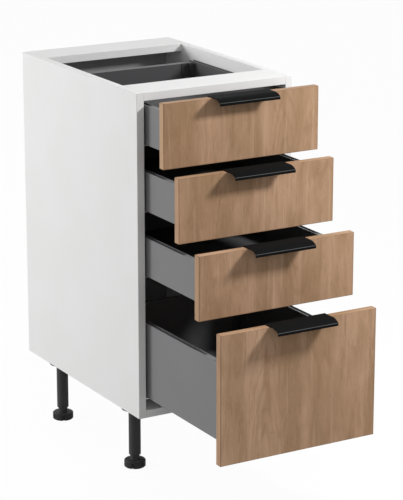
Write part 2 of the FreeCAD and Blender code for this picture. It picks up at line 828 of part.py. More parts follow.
def back_holders(drawer):
    """Folded posts in the rear corners that hold the back board to the sides."""
    reach = holder_width + bracket_flange_reach
    outline = [
        (0, 0),
        (holder_width, 0),
        (holder_width, holder_depth - bracket_thickness),
        (reach, holder_depth - bracket_thickness),
        (reach, holder_depth),
        (holder_width - bracket_thickness, holder_depth),
        (holder_width - bracket_thickness, bracket_thickness),
        (bracket_thickness, bracket_thickness),
        (bracket_thickness, holder_depth),
        (0, holder_depth),
    ]
    board_front = drawer["front_rear"] + drawer_length - box_board_thickness
    bottom = drawer["side_bottom"] + ledge_top + box_board_thickness
    height = drawer["side_bottom"] + drawer["side_height"] - back_board_drop - bottom
    post_gap = side_wall_gap + side_thickness
    screw_wall_distance = post_gap + holder_width + bracket_flange_reach / 2
    holders = []
    screws = []
    holes = []
    for side, section, x, way in (
            ("left", outline, post_gap - inner_half_width, -1),
            ("right", mirrored(outline, reach), inner_half_width - post_gap - reach, 1)):
        name = "back_holder_%s_%d" % (side, drawer["number"])
        body = new_body(name + "_blank")
        pad(body, outline_sketch(body, "XY_Plane", section), height)
        place(body, x, board_front - holder_depth, bottom)
        screw_x = (inner_half_width - screw_wall_distance) * way
        starts = [(screw_x, board_front - bracket_thickness, z)
                  for z in (bottom + bracket_screw_margin, bottom + height - bracket_screw_margin)]
        own_screws, own_holes = screws_and_holes(name + "_screw", starts, "y", bracket_screw_length)
        holders.append(without(name, body, own_holes))
        screws += own_screws
        holes += own_holes
    return holders, screws, holes


def drawer_box(drawer):
    """One drawer: front, handle, two sides, bottom, back, brackets, screws and its rails."""
    number = drawer["number"]
    handle_screws, handle_holes = handle(drawer)
    bottom_screws, bottom_holes = drawer_sides(drawer)
    brackets, bracket_screws, bracket_holes = front_brackets(drawer)
    holders, holder_screws, holder_holes = back_holders(drawer)
    drawer_rails(drawer)
    keep(group("corner_brackets_%d" % number, brackets + holders))
    keep(group("drawer_screws_%d" % number, handle_screws + bottom_screws + bracket_screws + holder_screws))

    blank = board("front_%d_blank" % number,
                  (-front_width / 2, drawer["front_rear"] - front_thickness,
                   drawer["front_top"] - drawer["front_height"]),
                  (front_width, front_thickness, drawer["front_height"]), front_edge_radius)
    keep(without("front_%d" % number, blank, handle_holes + bracket_holes))

    board_half_width = inner_half_width - side_wall_gap - side_thickness - box_board_clearance
    bottom_z = drawer["side_bottom"] + ledge_top
    bottom_y = drawer["front_rear"] + bracket_thickness + box_board_clearance
    end_y = drawer["front_rear"] + drawer_length
    blank = block("drawer_bottom_%d_blank" % number, (-board_half_width, bottom_y, bottom_z),
                  (board_half_width * 2, end_y - bottom_y, box_board_thickness))
    keep(without("drawer_bottom_%d" % number, blank, bottom_holes))

    back_z = bottom_z + box_board_thickness
    back_top = drawer["side_bottom"] + drawer["side_height"] - back_board_drop
    blank = block("drawer_back_%d_blank" % number, (-board_half_width, end_y - box_board_thickness, back_z),
                  (board_half_width * 2, box_board_thickness, back_top - back_z))
    keep(without("drawer_back_%d" % number, blank, holder_holes))


# --- what each drawer takes from its place in the stack, from the top down
drawers = []
next_top = carcass_top - front_top_reveal
deep_front_height = (carcass_height - front_top_reveal - front_bottom_reveal
                     - (small_front_height + front_gap) * 3)
for opening, front_height, side_height, side_drop in (
        (opening_1, small_front_height, small_side_height, small_side_drop),
        (opening_2, small_front_height, small_side_height, small_side_drop),
        (opening_3, small_front_height, small_side_height, small_side_drop),
        (opening_4, deep_front_height, deep_side_height, deep_side_drop)):
    drawers.append({
        "number": len(drawers) + 1,
        "opening": opening,
        "front_top": next_top,
        "front_height": front_height,
        "front_rear": -front_standoff - opening,
        "side_height": side_height,
        "side_bottom": next_top - side_drop - side_height,
    })
    next_top = next_top - front_height - front_gap

carcass(cabinet_rails(), legs())
for drawer in drawers:
    middle_rails(drawer)
    drawer_box(drawer)
doc.recompute()

for item in doc.Objects:
    if "Invalid" in item.State or "Error" in item.State:
        raise SystemExit("%s failed: %s" % (item.Label, item.State))
for piece in parts:
    if piece.Shape.isNull() or not piece.Shape.isValid():
        raise SystemExit("%s has no valid shape" % piece.Label)
os.makedirs("parts", exist_ok=True)
for piece in parts:
    piece.Shape.exportStep("parts/%s.step" % piece.Label)
print("%d sub-parts written" % len(parts))
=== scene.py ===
import math

import bpy
import numpy as np
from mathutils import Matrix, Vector


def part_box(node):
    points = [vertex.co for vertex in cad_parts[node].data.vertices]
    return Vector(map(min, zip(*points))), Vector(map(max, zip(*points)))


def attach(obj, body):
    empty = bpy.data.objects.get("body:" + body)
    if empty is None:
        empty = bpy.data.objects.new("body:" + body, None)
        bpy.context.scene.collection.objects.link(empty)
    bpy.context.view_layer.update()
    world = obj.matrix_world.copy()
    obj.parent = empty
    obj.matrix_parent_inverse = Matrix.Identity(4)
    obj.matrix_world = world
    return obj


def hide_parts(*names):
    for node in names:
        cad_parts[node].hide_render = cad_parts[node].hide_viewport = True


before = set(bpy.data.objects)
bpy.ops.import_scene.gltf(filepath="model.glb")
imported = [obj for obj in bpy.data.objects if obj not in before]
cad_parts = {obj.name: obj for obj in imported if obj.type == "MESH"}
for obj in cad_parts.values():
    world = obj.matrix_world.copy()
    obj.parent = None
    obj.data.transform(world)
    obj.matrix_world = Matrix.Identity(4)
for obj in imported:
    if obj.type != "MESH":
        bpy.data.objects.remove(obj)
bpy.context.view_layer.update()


# --- Carcass boards -------------------------------------------------------------------------
# Chipboard, 18 mm thick, with a white melamine face that is pressed against a finely textured
# steel plate. The front and top edges carry a glued band, whose joint shows as a hairline.

BOARDS = ["side_panel_left", "side_panel_right", "bottom_panel", "top_rail_front", "top_rail_back"]
CARCASS_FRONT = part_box("side_panel_left")[0].y
CARCASS_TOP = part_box("side_panel_left")[1].z
BAND_THICKNESS = 0.0009
BAND_JOINT = 0.00035
WHITE, WHITE_CLOUD = (0.855, 0.855, 0.850), (0.870, 0.871, 0.868)
GLUE_LINE = (0.42, 0.41, 0.39)


class Signal:
    """What comes out of a shader's node. Arithmetic on a varying number adds Math nodes."""

    def __init__(self, shader, socket):
        self.shader = shader
        self.socket = socket

    def math(self, operation, *numbers):
        return self.shader.node("ShaderNodeMath", dict(enumerate(numbers)), operation=operation)

    def __add__(self, other):
        return self.math("ADD", self, other)

    def __radd__(self, other):
        return self.math("ADD", other, self)

    def __sub__(self, other):
        return self.math("SUBTRACT", self, other)

    def __rsub__(self, other):
        return self.math("SUBTRACT", other, self)

    def __mul__(self, other):
        return self.math("MULTIPLY", self, other)

    def __rmul__(self, other):
        return self.math("MULTIPLY", other, self)

    def __gt__(self, other):
        return self.math("GREATER_THAN", self, other)

    def __lt__(self, other):
        return self.math("LESS_THAN", self, other)

    def __abs__(self):
        return self.math("ABSOLUTE", self)

    def root(self):
        return self.math("SQRT", self)

    def sine(self):
        return self.math("SINE", self)

    def larger(self, other):
        return self.math("MAXIMUM", self, other)

    def smooth(self, low, high):
        """Runs softly from 0 at low to 1 at high."""
        return self.shader.node("ShaderNodeMapRange", {0: self, 1: low, 2: high},
                                interpolation_type="SMOOTHSTEP")

    def along(self, axis):
        """A vector's measure along X, Y or Z."""
        return self.shader.node("ShaderNodeSeparateXYZ", {0: self}, output=axis)


class Shader:
    """The empty node tree of a material or of the room, to be filled and then ended."""

    def __init__(self, owner):
        self.owner = owner
        owner.use_nodes = True
        self.tree = owner.node_tree
        self.tree.nodes.clear()

    def node(self, kind, inputs=None, output=0, **settings):
        """Adds a node: its settings first, then its sockets' values or links; gives one output."""
        made = self.tree.nodes.new(kind)
        for name, value in settings.items():
            setattr(made, name, value)
        for name, value in (inputs or {}).items():
            socket = made.inputs[name]
            if isinstance(value, Signal):
                self.tree.links.new(value.socket, socket)
            elif socket.type == "RGBA":
                socket.default_value = (*value, 1)
            else:
                socket.default_value = value
        return Signal(self, made.outputs[output])

    def end(self, kind, surface):
        """Links the surface to an output node of this kind, and gives what the tree belongs to."""
        output = self.tree.nodes.new(kind)
        self.tree.links.new(surface.socket, output.inputs["Surface"])
        return self.owner


class Finish(Shader):
    """A material in the making, with the object's own coordinates at hand in metres."""

    def __init__(self, name):
        super().__init__(bpy.data.materials.new(name))
        self.place = self.node("ShaderNodeTexCoord", output="Object")
        self.x, self.y, self.z = (self.place.along(axis) for axis in "XYZ")

    def stretched(self, x, y, z, shift=(0, 0, 0), place=None):
        """The coordinates times a factor along each axis, so that a pattern is drawn out."""
        return self.node("ShaderNodeMapping",
                         {"Vector": place or self.place, "Location": shift, "Scale": (x, y, z)})

    def noise(self, where, per_metre, detail=2, roughness=0.5, distortion=0):
        """Cloudy noise from 0 to 1, with so many features to a metre."""
        return self.node("ShaderNodeTexNoise",
                         {"Vector": where, "Scale": per_metre, "Detail": detail,
                          "Roughness": roughness, "Distortion": distortion})

    def mix(self, share, first, second):
        """The first colour where the share is 0, and the second where it is 1."""
        colours = {0: share, 6: first, 7: second}
        return self.node("ShaderNodeMix", colours, output=2, data_type="RGBA")

    def bump(self, height, depth, strength):
        """A normal from a height between 0 and 1 that stands for this depth in metres."""
        return self.node("ShaderNodeBump", {"Height": height, "Distance": depth, "Strength": strength})

    def surface(self, **sockets):
        """Ends the finish in a Principled shader, whose sockets take these values or links."""
        inputs = {name.replace("_", " "): value for name, value in sockets.items()}
        return self.end("ShaderNodeOutputMaterial", self.node("ShaderNodeBsdfPrincipled", inputs))


def wear(material, *names):
    """Puts a finish into the slots of CAD nodes."""
    for name in names:
        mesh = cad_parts[name].data
        mesh.materials.clear()
        mesh.materials.append(material)


def white_melamine():
    """White face with a pressed orange-peel texture, a faint cloud and the band's hairline joint."""
    paint = Finish("white_melamine")
    peel = paint.noise(paint.place, per_metre=900, detail=3, roughness=0.6)
    cloud = paint.noise(paint.place, per_metre=7)
    front_joint = abs(paint.y - (CARCASS_FRONT + BAND_THICKNESS)) < BAND_JOINT / 2
    top_joint = abs(paint.z - (CARCASS_TOP - BAND_THICKNESS)) < BAND_JOINT / 2
    face = paint.mix(cloud.smooth(0.35, 0.65), WHITE, WHITE_CLOUD)
    return paint.surface(Base_Color=paint.mix(front_joint.larger(top_joint) * 0.5, face, GLUE_LINE),
                         Roughness=0.46 + 0.12 * peel, Specular_IOR_Level=0.25,
                         Normal=paint.bump(peel, depth=0.00006, strength=0.5))


wear(white_melamine(), *BOARDS)


# --- Back panel -----------------------------------------------------------------------------
# Fibreboard, 3 mm thick, slid into grooves. Its inside is lacquered; the outside is the raw
# brown board with the imprint of the wire screen that it was pressed on.

BACK_FRONT, BACK_REAR = (corner.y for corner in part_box("back_panel"))
SCREEN_PITCH = 0.0016
LACQUER, LACQUER_CLOUD = (0.350, 0.350, 0.352), (0.385, 0.385, 0.388)
DARK_FIBRE, PALE_FIBRE = (0.20, 0.115, 0.058), (0.36, 0.225, 0.125)
BOARD_CLOUD = (0.25, 0.15, 0.08)


def hardboard():
    """Grey lacquer inside; outside, brown fibres over a grid of dimples of the screen's pitch."""
    paint = Finish("hardboard")
    outside = paint.y > (BACK_FRONT + BACK_REAR) / 2
    fibre = paint.noise(paint.stretched(1, 1, 0.35), per_metre=420, detail=4, roughness=0.7)
    cloud = paint.noise(paint.place, per_metre=9, detail=3)
    turns = 2 * math.pi / SCREEN_PITCH
    screen = (paint.x * turns).sine() * (paint.z * turns).sine() * 0.5 + 0.5
    raw = paint.mix(fibre, DARK_FIBRE, PALE_FIBRE)
    raw = paint.mix(cloud.smooth(0.3, 0.7) * 0.35, raw, BOARD_CLOUD)
    lacquered = paint.mix(cloud, LACQUER, LACQUER_CLOUD)
    height = outside * (screen * 0.7 + fibre * 0.6)
    return paint.surface(Base_Color=paint.mix(outside, lacquered, raw), Roughness=0.42 + outside * 0.35,
                         Specular_IOR_Level=0.35, Normal=paint.bump(height, depth=0.00025, strength=0.6))


wear(hardboard(), "back_panel")


# --- Dowels ---------------------------------------------------------------------------------
# Beech pins, 8 mm across, glued into the joints of the boards. They show only when the
# carcass is taken apart.

DOWEL_BROWN, DOWEL_PALE, DOWEL_FLECK = (0.50, 0.33, 0.19), (0.66, 0.49, 0.31), (0.36, 0.21, 0.11)


def beech():
    """Pale brown wood with fibres along the dowels, which lie across the cabinet."""
    paint = Finish("beech")
    fibre = paint.noise(paint.stretched(0.08, 1, 1), per_metre=1400, detail=4, roughness=0.6)
    fleck = paint.noise(paint.stretched(0.4, 1, 1), per_metre=500)
    wood = paint.mix(fibre, DOWEL_BROWN, DOWEL_PALE)
    return paint.surface(Base_Color=paint.mix(fleck.smooth(0.58, 0.7) * 0.5, wood, DOWEL_FLECK),
                         Roughness=0.6 + 0.15 * fibre, Specular_IOR_Level=0.3,
                         Normal=paint.bump(fibre, depth=0.0001, strength=0.5))


wear(beech(), "carcass_dowels")


# --- Legs -----------------------------------------------------------------------------------
# Moulded black plastic: a flanged socket under the cabinet, a tube that is pushed on it, and a
# foot that screws in and out of the tube to level the cabinet.

CORNERS = ["front_left", "front_right", "back_left", "back_right"]
DISC_TOP = 0.017
SCUFF_HEIGHT = 0.004
DISC_BLACK, DISC_CLOUD = (0.030, 0.030, 0.031), (0.038, 0.038, 0.039)
TUBE_BLACK, TUBE_CLOUD = (0.052, 0.052, 0.053), (0.062, 0.062, 0.063)
SCUFFED_GREY = (0.075, 0.073, 0.070)


def moulded_black():
    """Spark-eroded black plastic, deeper on the feet's discs and greyed where they rub the floor."""
    paint = Finish("moulded_black")
    spark = paint.noise(paint.place, per_metre=2600, detail=3, roughness=0.65)
    cloud = paint.noise(paint.place, per_metre=60, detail=3)
    scuff = (1 - paint.z.smooth(0, SCUFF_HEIGHT)) * cloud.smooth(0.4, 0.65)
    disc = paint.mix(cloud, DISC_BLACK, DISC_CLOUD)
    tube = paint.mix(cloud, TUBE_BLACK, TUBE_CLOUD)
    black = paint.mix(paint.z > DISC_TOP, disc, tube)
    return paint.surface(Base_Color=paint.mix(scuff * 0.4, black, SCUFFED_GREY),
                         Roughness=0.58 + 0.14 * spark + 0.10 * scuff, Specular_IOR_Level=0.16,
                         Normal=paint.bump(spark, depth=0.00005, strength=0.6))


wear(moulded_black(), "leg_sockets", *["leg_tube_" + corner for corner in CORNERS],
     *["leg_foot_" + corner for corner in CORNERS])


# --- Runners --------------------------------------------------------------------------------
# Rails folded from galvanised sheet. Each drawer runs on a pair that is screwed to the side
# panels, a middle pair that goes half the way with it, and a pair under its own sides.

DRAWERS = range(1, 5)
SPANGLES_PER_METRE = 480
ZINC, ZINC_BLOOM = (0.50, 0.51, 0.52), (0.60, 0.61, 0.62)


def galvanised():
    """Zinc with a faint spangle, whose small cells differ in grey and gloss, and rolling lines."""
    paint = Finish("galvanised")
    cells = paint.node("ShaderNodeTexVoronoi", {"Vector": paint.place, "Scale": SPANGLES_PER_METRE},
                       output="Color")
    spangle = paint.node("ShaderNodeSeparateColor", {0: cells}, output="Red")
    rolled = paint.noise(paint.stretched(1, 0.03, 1), per_metre=1500)
    bloom = paint.noise(paint.place, per_metre=40, detail=3)
    return paint.surface(Base_Color=paint.mix(spangle * 0.5 + bloom * 0.5, ZINC, ZINC_BLOOM),
                         Metallic=0.85, Roughness=0.34 + 0.08 * spangle + 0.06 * bloom,
                         Normal=paint.bump(rolled, depth=0.00003, strength=0.4))


wear(galvanised(), "cabinet_rails", *["middle_rails_%d" % number for number in DRAWERS],
     *["drawer_rails_%d" % number for number in DRAWERS])


# --- Screws ---------------------------------------------------------------------------------
# Countersunk chipboard screws, with a cross pressed into the head and a coarse rolled thread.
# Those of the legs and runners are bright zinc, and those of the drawers are black.

SCREW_SIDES = 12
CROSS_ARMS = 4
SHANK_CREST = 0.00172
SHANK_ROOT = 0.00118
SHANK_TIP = 0.00015
THREAD_PITCH = 0.0020
THREAD_STEP = 0.0005
TIP_LENGTH = 0.0038
TIP_NARROWEST = 0.1
SHARP_ANGLE = 35
# distance from the axis, and depth below the face in the cross's arms and between them
HEAD_FACE = [(0.0003, 0.0018, 0.0018), (0.0008, 0.0015, 0.0), (0.0018, 0.0010, 0.0),
             (0.0020, 0.0, 0.0), (0.0032, 0.0, 0.0), (0.0032, 0.0002, 0.0002), (0.0017, 0.0014, 0.0014)]
GREY_ZINC, BRIGHT_ZINC = (0.50, 0.50, 0.49), (0.68, 0.68, 0.67)
BLACK_ZINC, BROWN_BLOOM = (0.028, 0.028, 0.030), (0.052, 0.048, 0.042)


def screw_places(name):
    """Head centre, direction and length of each screw in a CAD node.

    Corners at one place count as one. Each takes the lowest number among its triangles'
    corners until nothing changes, which leaves one number to a screw. The shank lies along the
    longest side of the screw's box, and the head is where the corner farthest from it lies.
    """
    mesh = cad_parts[name].data
    corners = np.zeros(len(mesh.vertices) * 3)
    mesh.vertices.foreach_get("co", corners)
    triangles = np.zeros(len(mesh.polygons) * 3, dtype=int)
    mesh.polygons.foreach_get("vertices", triangles)
    points, same = np.unique(corners.reshape(-1, 3).round(6), axis=0, return_inverse=True)
    triangles = same.ravel()[triangles].reshape(-1, 3)
    numbers = None
    lowest = np.arange(len(points))
    while numbers is None or (lowest != numbers).any():
        numbers = lowest.copy()
        np.minimum.at(lowest, triangles, numbers[triangles].min(axis=1, keepdims=True))
    found = []
    for number in np.unique(numbers):
        own = points[numbers == number]
        low, high = own.min(axis=0), own.max(axis=0)
        middle, length = (low + high) / 2, (high - low).max()
        axis = np.eye(3)[(high - low).argmax()]
        off_axis = (own - middle) * (1 - axis)
        rim = own[np.linalg.norm(off_axis, axis=1).argmax()]
        along = axis * np.sign((middle - rim) @ axis)
        found.append((middle - along * length / 2, along, length))
    return found


def screw_form(length):
    """Radius and depth of a screw, on a grid of rows along it and columns round it.

    In the head's face, columns a quarter turn apart run through the arms of the cross. On the
    shank the radius is the root's plus a ridge that climbs a pitch for each turn, and towards
    the tip it all narrows in a straight line.
    """
    column = np.arange(SCREW_SIDES)[None, :]
    face_radius, arm_depth, land_depth = np.array(HEAD_FACE).T[..., None]
    head_depth = np.where(column % (SCREW_SIDES // CROSS_ARMS) == 0, arm_depth, land_depth)
    depth = np.arange(land_depth.max() + THREAD_STEP, length, THREAD_STEP)[:, None]
    turn = depth / THREAD_PITCH - column / SCREW_SIDES
    ridge = np.maximum(2 * abs(2 * (turn - np.floor(turn)) - 1) - 1, 0)
    narrowing = np.clip((length - depth) / TIP_LENGTH, TIP_NARROWEST, 1)
    radius = (SHANK_ROOT + (SHANK_CREST - SHANK_ROOT) * ridge) * narrowing
    every = np.ones((1, SCREW_SIDES))
    return (np.vstack([face_radius * every, radius, SHANK_TIP * every]),
            np.vstack([head_depth, depth * every, length * every]))


def screws(piece_name, node, body, finish):
    """All the screws of a CAD node, in the places of its plain ones.

    Each grid point lies at the head's centre, plus its depth along the screw and its radius
    turned round it. The innermost row of the face and the row at the tip are closed by a face.
    """
    points, faces, count = [], [], 0
    turn = np.arange(SCREW_SIDES)[:, None] * 2 * math.pi / SCREW_SIDES
    for start, along, length in screw_places(node):
        radius, depth = screw_form(length)
        side = np.roll(along, 1)
        ring = np.cos(turn) * side + np.sin(turn) * np.cross(along, side)
        grid = start + depth[..., None] * along + radius[..., None] * ring
        here = count + np.arange(radius.size).reshape(radius.shape)
        beside = np.roll(here, -1, axis=1)
        quads = np.stack([here[:-1], beside[:-1], beside[1:], here[1:]], axis=-1)
        faces += quads.reshape(-1, 4).tolist() + [here[0, ::-1].tolist(), here[-1].tolist()]
        points.append(grid.reshape(-1, 3))
        count += radius.size
    mesh = bpy.data.meshes.new(piece_name)
    mesh.from_pydata(np.vstack(points), [], faces)
    mesh.shade_smooth()
    mesh.set_sharp_from_angle(angle=math.radians(SHARP_ANGLE))
    mesh.materials.append(finish)
    piece = bpy.data.objects.new(piece_name, mesh)
    bpy.context.scene.collection.objects.link(piece)
    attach(piece, body)
    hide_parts(node)


def zinc_plate():
    """Bright zinc on small turned parts, with a cloud of grey."""
    paint = Finish("zinc_plate")
    cloud = paint.noise(paint.place, per_metre=900, detail=3)
    return paint.surface(Base_Color=paint.mix(cloud, GREY_ZINC, BRIGHT_ZINC), Metallic=0.9,
                         Roughness=0.28 + 0.2 * cloud,
                         Normal=paint.bump(cloud, depth=0.00003, strength=0.4))


def black_zinc():
    """Black-passivated zinc, with a brownish bloom, on the screws that show inside a drawer."""
    paint = Finish("black_zinc")
    bloom = paint.noise(paint.place, per_metre=700, detail=3)
    return paint.surface(Base_Color=paint.mix(bloom, BLACK_ZINC, BROWN_BLOOM), Metallic=0.5,
                         Roughness=0.45 + 0.2 * bloom,
                         Normal=paint.bump(bloom, depth=0.00003, strength=0.4))


bright, black = zinc_plate(), black_zinc()
screws("runner_screw_set", "runner_screws", "cabinet", bright)
screws("leg_screw_set", "leg_screws", "cabinet", bright)
for number in DRAWERS:
    screws("drawer_screw_set_%d" % number, "drawer_screws_%d" % number, "drawer_%d" % number, black)


# --- Drawer fronts --------------------------------------------------------------------------
# Chipboard, 18 mm thick, with a printed beech decor whose grain stands upright. The side edges
# carry a paler band, and all round the bands' joints draw a thin dark line inside the arris.

FRONT_BAND = 0.001
FRONT_JOINT = 0.0012
# a surface faces along an axis where more than this of its normal lies along it
FACING = 0.7
GRAIN_BEND = 0.022
RING_CENTRES = {1: (0.115, -0.16), 2: (-0.085, -0.10), 3: (0.050, 0.18), 4: (-0.085, -0.20)}
RING_NARROWING = 0.16
RING_PITCH = 0.0085
RING_WANDER = 0.016
RING_REACH = 0.055
YELLOWISH, PINKISH = (0.386, 0.240, 0.139), (0.538, 0.340, 0.219)
DARK, LIGHT, BROWN = (0.291, 0.165, 0.085), (0.642, 0.447, 0.304), (0.208, 0.113, 0.056)
PALE_BAND = (0.640, 0.420, 0.262)
BAND_PALENESS = {1: 0.66, 2: 0.36, 3: 0.36, 4: 0.05}


def beech_decor(number):
    """Upright grain on a ground of two hues.

    Broad bands and clouds choose the hue, and brownish flames lie over it. Fine lines fill
    some stretches, thin light streaks run along them, and short dark pores and light flecks
    lie between. The arches of the growth rings are a sine of the distance from a point on the
    front, with the height drawn in. The grain bends a little, and it lies along X on the top
    and bottom edges. The side edges are mixed with the tone of the pale band.
    """
    low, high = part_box("front_%d" % number)
    middle, half_height = (low.z + high.z) / 2, (high.z - low.z) / 2
    paint = Finish("beech_decor_%d" % number)
    normal = paint.node("ShaderNodeNewGeometry", output="Normal")
    lying = abs(normal.along("Z")) > FACING
    banded = abs(normal.along("X")) > FACING
    # each front is cut from another place of the decor
    shift = (0.37 * number, 0.0, 0.19 * number * number)
    bend = (paint.noise(paint.stretched(1, 1, 0.35, shift), per_metre=8) - 0.5) * GRAIN_BEND
    sideways = paint.node("ShaderNodeCombineXYZ", {"X": bend})
    bent = paint.node("ShaderNodeVectorMath", {0: paint.place, 1: sideways}, operation="ADD")

    def grain(along, per_metre, detail=2, roughness=0.5, distortion=0, across=1):
        """Noise whose features are drawn out along the grain, by one over the first factor."""
        upright = paint.stretched(across, across, along, shift, bent)
        flat = paint.stretched(along, across, across, shift, bent)
        where = paint.node("ShaderNodeMix", {0: lying, 4: upright, 5: flat}, output=1, data_type="VECTOR")
        return paint.noise(where, per_metre, detail, roughness, distortion)

    band = grain(0.04, per_metre=11)
    cloud = grain(0.25, per_metre=22, detail=3, roughness=0.55, distortion=0.6)
    flame = grain(0.22, per_metre=36, detail=4, roughness=0.58, distortion=1)
    zone = grain(0.12, per_metre=19)
    line = grain(0.012, per_metre=300, detail=3, roughness=0.7)
    streak = grain(0.025, per_metre=120, roughness=0.45)
    pore = grain(0.13, per_metre=440)
    fleck = grain(0.14, per_metre=400, across=1.1)

    ring_x, ring_z = RING_CENTRES[number]
    beside = paint.x + bend - ring_x
    above = (paint.z - middle - ring_z) * RING_NARROWING
    distance = (beside * beside + above * above).root() + (cloud - 0.5) * RING_WANDER
    ring = (distance * (2 * math.pi / RING_PITCH)).sine()
    near = 1 - abs(beside + (cloud - 0.5) * RING_REACH).smooth(RING_REACH * 0.3, RING_REACH)

    wood = paint.mix((band * 0.50 + cloud * 0.50).smooth(0.38, 0.62), YELLOWISH, PINKISH)
    wood = paint.mix(flame.smooth(0.44, 0.72) * 0.50, wood, DARK)
    wood = paint.mix(line.smooth(0.42, 0.66) * (zone.smooth(0.38, 0.62) * 0.22 + 0.04), wood, DARK)
    wood = paint.mix(ring.smooth(0.45, 0.95) * near * 0.24, wood, DARK)
    wood = paint.mix(streak.smooth(0.60, 0.70) * 0.30, wood, LIGHT)
    wood = paint.mix(pore.smooth(0.60, 0.70) * 0.22, wood, BROWN)
    wood = paint.mix(fleck.smooth(0.62, 0.72) * 0.20, wood, LIGHT)
    wood = paint.mix(banded * BAND_PALENESS[number], wood, PALE_BAND)
    side_joint = abs(abs(paint.x) - (high.x - FRONT_BAND)) < FRONT_JOINT / 2
    end_joint = abs(abs(paint.z - middle) - (half_height - FRONT_BAND)) < FRONT_JOINT / 2
    joints = (side_joint * 0.85).larger(end_joint * 0.35)
    height = line * 0.5 - pore.smooth(0.58, 0.72) * 0.7
    return paint.surface(Base_Color=paint.mix(joints, wood, BROWN), Roughness=0.56 + 0.12 * line,
                         Specular_IOR_Level=0.12, Normal=paint.bump(height, depth=0.00010, strength=0.5))


for number in DRAWERS:
    wear(beech_decor(number), "front_%d" % number)


# --- Handles --------------------------------------------------------------------------------
# Bent sheet, 2 mm thick, powder-coated black. A tab is screwed behind the front, the plate
# lies over its top edge, and the lip curves down before it. A painted highlight greys the crease.

CREASE_DROP = 0.0077
CREASE_REACH = 0.0009
COAT_BLACK, COAT_CLOUD = (0.0060, 0.0062, 0.0064), (0.0082, 0.0084, 0.0087)
# a lighter grey, painted along the crease as a highlight
CREASE_HIGHLIGHT_GREY = (0.115, 0.117, 0.120)


def black_powder_coat(number):
    """Deep matte black with a fine grit, and a lighter grey painted highlight along the crease above the
    lip.
    """
    low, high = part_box("handle_%d" % number)
    paint = Finish("black_powder_coat_%d" % number)
    grit = paint.noise(paint.place, per_metre=2400, detail=3, roughness=0.6)
    cloud = paint.noise(paint.place, per_metre=35)
    # painted highlight: the crease above the lip is mixed towards a lighter grey, in patches from this
    # noise
    highlight_patches = paint.noise(paint.stretched(0.2, 1, 1), per_metre=300, detail=3)
    off_crease = abs(paint.z - (high.z - CREASE_DROP)).larger(abs(paint.y - low.y))
    crease = 1 - off_crease.smooth(CREASE_REACH * 0.5, CREASE_REACH)
    black = paint.mix(cloud, COAT_BLACK, COAT_CLOUD)
    return paint.surface(Base_Color=paint.mix(crease * (0.55 + highlight_patches * 0.6), black, CREASE_HIGHLIGHT_GREY),
                         Roughness=0.66 + 0.12 * grit, Specular_IOR_Level=0.02,
                         Normal=paint.bump(grit, depth=0.00006, strength=0.55))


for number in DRAWERS:
    wear(black_powder_coat(number), "handle_%d" % number)


# --- Drawer sides ---------------------------------------------------------------------------
# Double walls folded from steel sheet and powder-coated grey, with painted shade that darkens
# their faces inside the drawer. The groove along the top edge holds a dark plastic strip and ends
# in a ramp near the front.

SIDE_THICKNESS = 0.013
GROOVE_DEPTH = 0.0025
GROOVE_RIM = 0.002
STRIP_MARGIN = 0.0002
INNER_MARGIN = 0.0003
OUTER_GREY, OUTER_CLOUD = (0.204, 0.204, 0.208), (0.222, 0.222, 0.227)
# painted shade: a darker grey for the faces inside the drawer
SHADED_INNER_GREY, SHADED_INNER_CLOUD = (0.094, 0.094, 0.097), (0.106, 0.106, 0.110)
STRIP_GREY = (0.085, 0.085, 0.088)


def grey_powder_coat(number):
    """Grey with a fine grit, painted darker inside the drawer as shade, and dark plastic in the top
    groove.
    """
    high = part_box("side_right_%d" % number)[1]
    paint = Finish("grey_powder_coat_%d" % number)
    grit = paint.noise(paint.place, per_metre=2200, detail=3, roughness=0.6)
    cloud = paint.noise(paint.place, per_metre=11)
    off_middle = abs(abs(paint.x) - (high.x - SIDE_THICKNESS / 2))
    in_width = off_middle < SIDE_THICKNESS / 2 - GROOVE_RIM + STRIP_MARGIN
    above_floor = paint.z > high.z - GROOVE_DEPTH - STRIP_MARGIN
    below_rim = paint.z < high.z - STRIP_MARGIN
    inside = abs(paint.x) < high.x - SIDE_THICKNESS + INNER_MARGIN
    outer = paint.mix(cloud, OUTER_GREY, OUTER_CLOUD)
    # the faces inside the drawer take the darker grey of painted shade
    shaded_inner = paint.mix(cloud, SHADED_INNER_GREY, SHADED_INNER_CLOUD)
    grey = paint.mix(inside, outer, shaded_inner)
    return paint.surface(Base_Color=paint.mix(in_width * above_floor * below_rim, grey, STRIP_GREY),
                         Roughness=0.46 + 0.14 * grit, Specular_IOR_Level=0.20,
                         Normal=paint.bump(grit, depth=0.00006, strength=0.5))


for number in DRAWERS:
    wear(grey_powder_coat(number), "side_left_%d" % number, "side_right_%d" % number)


# --- Drawer bottoms and backs ---------------------------------------------------------------
# Chipboard, 16 mm thick, with a dark grey melamine face that is pressed with a linen weave. The
# top edge of a back carries a paler band.

BACK_BAND = 0.0006
WEAVE_RADIANS_PER_METRE = 5200
DARK_GREY, DARK_GREY_CLOUD = (0.074, 0.074, 0.077), (0.100, 0.100, 0.104)
BACK_BAND_GREY = (0.205, 0.205, 0.210)


